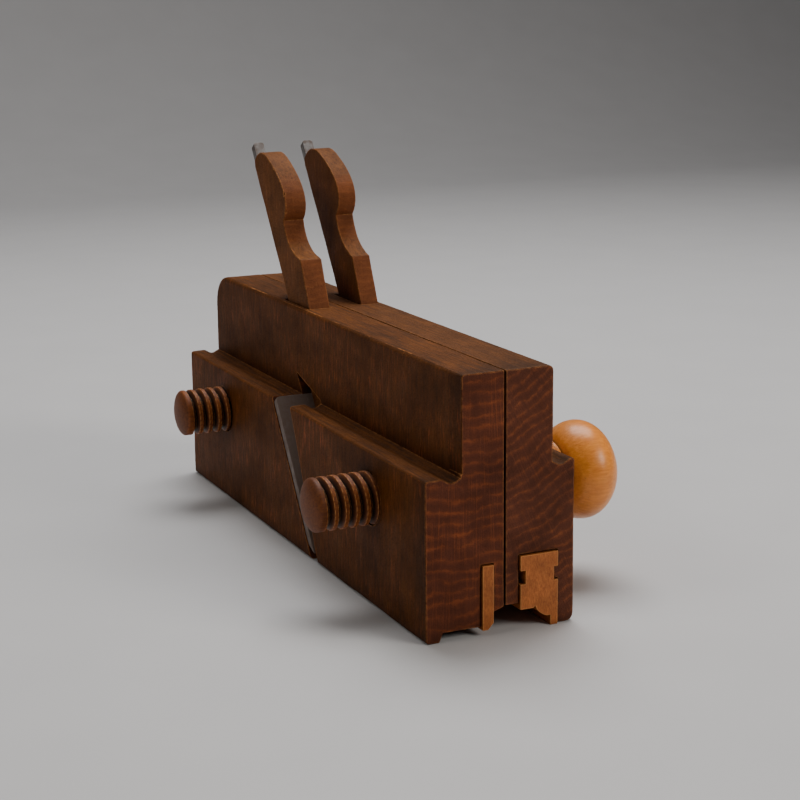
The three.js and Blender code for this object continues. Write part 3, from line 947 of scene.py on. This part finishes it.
def from_screw_axis(g, y, z):
    """Distance from the axis of the nearer screw."""
    distances = []
    for spot in (FRONT_SCREW, REAR_SCREW):
        beside = g.math("SUBTRACT", y, spot["y"] + TOE_Y / MM)
        above = g.math("SUBTRACT", z, SCREW_HEIGHT)
        distances.append(g.vector("LENGTH", g.combine(0, beside, above)))
    return g.math("MINIMUM", *distances)


def thread_shade_and_highlight(g, x, y, z, knob_side):
    """Painted shade in the roots and painted highlight on the crests of the thread, painted shade on
    the dome, and none on the knob.
    """
    reach = g.math("DIVIDE", from_screw_axis(g, y, z), 10)
    # Painted shade in the roots and painted highlight on the crests, by distance from the axis.
    shade_and_highlight = g.ramp(reach, (0.76, 0.3), (0.9, 0.75), (0.93, 1.15))
    # Painted shade on the dome, which faces away from the light.
    past_thread = g.math("DIVIDE", g.math("SUBTRACT", JOINT_X / MM - 48.5, x), 10)
    shade_and_highlight = g.mix(g.ramp(past_thread, (0.0, 0), (0.02, 1)), shade_and_highlight, (0.7, 0.7, 0.66, 1))
    return g.mix(knob_side, shade_and_highlight, (1, 1, 1, 1))


def turned_boxwood(name):
    """Honey-coloured and polished on the knob; toward the thread end a darker brown that is painted
    shade, with painted shade in the roots and on the dome and painted highlights on the crests.
    """
    g = Graph(name)
    point = g.millimetres()
    x, y, z = g.separate(point)
    grain = g.grain(point, (0.12, 1.1, 1.1), 4, 0.6)
    fleck = g.grain(point, (0.5, 2.2, 2.2), 2, 0.6)
    broad = g.noise(point, 0.07, 3)
    honey = g.mix(g.ramp(grain, (0.3, 0), (0.72, 1)), srgb(214, 122, 42), srgb(236, 150, 62))
    # Painted shade: the thread end is the same boxwood as the knob, made darker brown for the shade
    # on the side that faces away from the light.
    painted_shade_brown = g.mix(g.ramp(grain, (0.35, 0), (0.68, 1)), srgb(112, 56, 20), srgb(146, 80, 30))
    knobward = g.math("DIVIDE", g.math("SUBTRACT", x, JOINT_X / MM + 20), 60)
    knob_side = g.ramp(knobward, (0.05, 0), (0.4, 1))
    colour = g.mix(knob_side, painted_shade_brown, honey)
    colour = g.mix(g.ramp(fleck, (0.66, 0), (0.78, 0.5)), colour, srgb(110, 52, 14))
    colour = g.shade(colour, g.ramp(broad, (0.3, 0.8), (0.7, 1.15)))
    colour = g.shade(colour, thread_shade_and_highlight(g, x, y, z, knob_side))
    # Painted highlight: the edges of the thread's crests are lightened for the light that catches
    # them.
    crest = g.math("MULTIPLY", g.edges(0.35, 0.05), g.math("SUBTRACT", 1, knob_side))
    colour = g.mix(crest, colour, srgb(244, 170, 92))
    # Painted shade: the colour is darkened in the thread roots and other recesses.
    colour = g.shade(colour, g.ramp(g.painted_corner_shade(3), (0.3, 0.1), (0.9, 1.0)))
    g.feed(g.shader.inputs["Base Color"], colour)
    dulled = g.math("ADD", g.math("MULTIPLY", knob_side, 0.5), g.math("MULTIPLY", fleck, 0.3))
    g.feed(g.shader.inputs["Roughness"], g.ramp(dulled, (0.1, 0.58), (0.65, 0.34)))
    g.shader.inputs["Specular IOR Level"].default_value = 0.3
    g.feed(g.shader.inputs["Coat Weight"], g.math("MULTIPLY", knob_side, 0.2))
    g.shader.inputs["Coat Roughness"].default_value = 0.25
    g.bump(g.math("ADD", fleck, g.math("MULTIPLY", broad, 0.6)), 0.25, 0.3)
    return g.material


def old_steel(name):
    """Stained, scratched and pitted steel; browner and duller below mid-height, where it is buried in
    the stock, which is painted reflection of the wood around it.
    """
    g = Graph(name)
    point = g.millimetres()
    stain = g.noise(point, 0.22, 5, 0.65)
    scratch = g.grain(point, (2.5, 0.15, 0.15), 3, 0.6)
    pits = g.noise(point, 2.2, 2, 0.6)
    colour = g.mix(g.ramp(stain, (0.42, 0), (0.62, 1)), srgb(128, 124, 122), srgb(84, 66, 54))
    colour = g.mix(g.ramp(scratch, (0.55, 0), (0.7, 0.5)), colour, srgb(168, 166, 164))
    colour = g.mix(g.ramp(pits, (0.62, 0), (0.72, 0.7)), colour, srgb(52, 40, 34))
    height = g.math("DIVIDE", g.separate(point)[2], 150)
    # Painted reflection: browner and less metallic low down, standing in for the wood that the steel
    # reflects there.
    painted_reflection_below = g.ramp(height, (0.5, 0.85), (0.85, 0.0))
    colour = g.mix(painted_reflection_below, colour, srgb(112, 92, 80))
    g.feed(g.shader.inputs["Base Color"], colour)
    bright = g.math("SUBTRACT", 1, painted_reflection_below)
    metal = g.math("MULTIPLY", bright, g.ramp(stain, (0.4, 0.8), (0.65, 0.25)))
    g.feed(g.shader.inputs["Metallic"], metal)
    g.feed(g.shader.inputs["Roughness"], g.ramp(stain, (0.4, 0.42), (0.65, 0.7)))
    g.bump(g.math("ADD", pits, g.math("MULTIPLY", scratch, 0.4)), 0.4, 0.15)
    return g.material


# ---- pieces ----

def build_stocks():
    rabbet_wood = beech(
        "beech_rabbet", pith=(-14, 300),
        end_base=srgb(88, 46, 30), end_line=srgb(166, 84, 42), side_base=srgb(70, 38, 9),
        side_light=srgb(124, 68, 15), worn=srgb(196, 126, 70))
    moulding_wood = beech(
        "beech_moulding", pith=(-35, 150),
        end_base=srgb(90, 50, 35), end_line=srgb(166, 88, 48), side_base=srgb(76, 43, 17),
        side_light=srgb(124, 72, 27), worn=srgb(196, 130, 76), ring_spacing=3.4)
    finish_piece(rabbet_stock(), "rabbet_half", "beech", rabbet_wood, "rabbet_stock")
    finish_piece(moulding_stock(), "moulding_half", "beech", moulding_wood, "moulding_stock")


def build_boxings():
    material = boxwood_strip("boxing_boxwood")
    sets = (
        ("rabbet", RABBET, RABBET_BOXING, "rabbet_half"),
        ("moulding", MOULDING, moulding_boxing_outline(), "moulding_half"),
    )
    for label, half, outline, body in sets:
        for end, ahead in (("front", True), ("rear", False)):
            node = f"{label}_boxing_{end}"
            strip = boxing(node + "_strip", half, outline, ahead)
            finish_piece(strip, body, "boxing", material, node)


def build_irons_and_wedges():
    steel = old_steel("old_steel")
    finish_piece(rabbet_iron(), "rabbet_iron", "iron_steel", steel, "rabbet_iron")
    finish_piece(moulding_iron(), "moulding_iron", "iron_steel", steel, "moulding_iron")
    wood = beech(
        "beech_wedge", pith=(-10, -60),
        end_base=srgb(122, 68, 36), end_line=srgb(156, 88, 44), side_base=srgb(92, 52, 18),
        side_light=srgb(136, 80, 30), worn=srgb(204, 136, 78), ring_spacing=2.2)
    left = wedge("rabbet_wedge_wood", RABBET, RABBET_IRON, RABBET_WEDGE_HEAD, WORN_CHIPS)
    right = wedge("moulding_wedge_wood", MOULDING, MOULDING_IRON, MOULDING_WEDGE_HEAD)
    finish_piece(left, "rabbet_wedge", "wedge_beech", wood, "rabbet_wedge")
    finish_piece(right, "moulding_wedge", "wedge_beech", wood, "moulding_wedge")


def build_screws():
    wood = turned_boxwood("screw_boxwood")
    strip = boxwood_strip("pin_boxwood")
    for label, spot in (("front", FRONT_SCREW), ("rear", REAR_SCREW)):
        piece = screw(f"{label}_screw_wood", spot)
        finish_piece(piece, f"{label}_screw", "screw_boxwood", wood, f"{label}_screw")
        pin = smooth(pin_solid(f"{label}_screw_pin_wood", spot, 0, PIN["top"]))
        finish_piece(pin, "moulding_half", "boxing", strip, f"{label}_screw_pin")


# ---- floor, light and camera ----

# The backdrop, in metres: flat from the front to the bend, then curving up to the top.
BACKDROP = {"half_width": 3.0, "front": -1.6, "bend": 1.2, "curve": 0.8, "top": 2.4}
WARM = (1, 0.95, 0.88)
# Name, position and size in metres, power in watts, and tint.
LIGHTS = (
    ("overhead", (0.25, 0.35, 1.2), (0.9, 0.7), 16, (1, 1, 1)),
    ("right_front", (0.75, -1.0, 0.7), (0.5, 0.5), 8.5, WARM),
    ("left_fill", (-1.0, -0.1, 0.95), (0.5, 0.5), 2.8, WARM),
)
LIGHT_TARGET = (0, 0, 0.06)
# The camera's place and lens in millimetres, and its turn in degrees.
CAMERA_PLACE = (-261.2, -488.7, 207.9)
LENS = {"length": 78.5, "sensor": 36.0}
CAMERA_TURN = {"yaw": 24.576, "pitch": 12.996, "roll": -0.61}


def backdrop_profile():
    """The backdrop seen from the side, as (y, z)."""
    bend, curve = BACKDROP["bend"], BACKDROP["curve"]
    steps = 12
    profile = [(BACKDROP["front"], 0.0), (bend, 0.0)]
    for i in range(1, steps + 1):
        turn = i / steps * math.pi / 2
        profile.append((bend + curve * math.sin(turn), curve - curve * math.cos(turn)))
    profile.append((bend + curve, BACKDROP["top"]))
    return profile


def backdrop_paper(name):
    """Matt, pale grey paper."""
    g = Graph(name)
    g.feed(g.shader.inputs["Base Color"], g.mix(
        g.noise(g.millimetres(), 0.02, 2), (0.56, 0.55, 0.55, 1), (0.60, 0.59, 0.59, 1)))
    g.shader.inputs["Roughness"].default_value = 0.55
    return g.material


def build_floor():
    bm = bmesh.new()
    sides = (-BACKDROP["half_width"], BACKDROP["half_width"])
    rows = [[bm.verts.new((x, y, z)) for x in sides] for y, z in backdrop_profile()]
    for low, high in zip(rows, rows[1:]):
        bm.faces.new((low[0], low[1], high[1], high[0]))
    floor = smooth(object_from("studio_floor", bm))
    floor.data.materials.append(backdrop_paper("studio_paper"))


def area_light(name, position, size, power, tint):
    data = bpy.data.lights.new(name, "AREA")
    data.shape = "RECTANGLE"
    data.size, data.size_y = size
    data.energy = power
    data.color = tint
    light = bpy.data.objects.new(name, data)
    bpy.context.scene.collection.objects.link(light)
    light.location = position
    aim = Vector(LIGHT_TARGET) - Vector(position)
    light.rotation_euler = aim.to_track_quat("-Z", "Y").to_euler()


def build_lights():
    for light in LIGHTS:
        area_light(*light)
    world = bpy.data.worlds.new("studio_world")
    world.use_nodes = True
    background = world.node_tree.nodes["Background"]
    background.inputs["Color"].default_value = (0.5, 0.5, 0.52, 1)
    background.inputs["Strength"].default_value = 0.15
    bpy.context.scene.world = world


def build_camera():
    data = bpy.data.cameras.new("photo_view")
    data.lens = LENS["length"]
    data.sensor_width = LENS["sensor"]
    camera = bpy.data.objects.new("photo_view", data)
    bpy.context.scene.collection.objects.link(camera)
    camera.location = place(*CAMERA_PLACE)
    yaw, pitch, roll = (math.radians(CAMERA_TURN[turn]) for turn in ("yaw", "pitch", "roll"))
    forward = Vector((
        math.sin(yaw) * math.cos(pitch), math.cos(yaw) * math.cos(pitch), -math.sin(pitch)))
    right = Vector((math.cos(yaw), -math.sin(yaw), 0))
    up = right.cross(forward)
    level_right = right * math.cos(roll) + up * math.sin(roll)
    level_up = up * math.cos(roll) - right * math.sin(roll)
    axes = Matrix((level_right, level_up, -forward)).transposed()
    camera.rotation_euler = axes.to_euler()
    bpy.context.scene.camera = camera


build_camera()
build_lights()
build_floor()
build_stocks()
build_boxings()
build_irons_and_wedges()
build_screws()
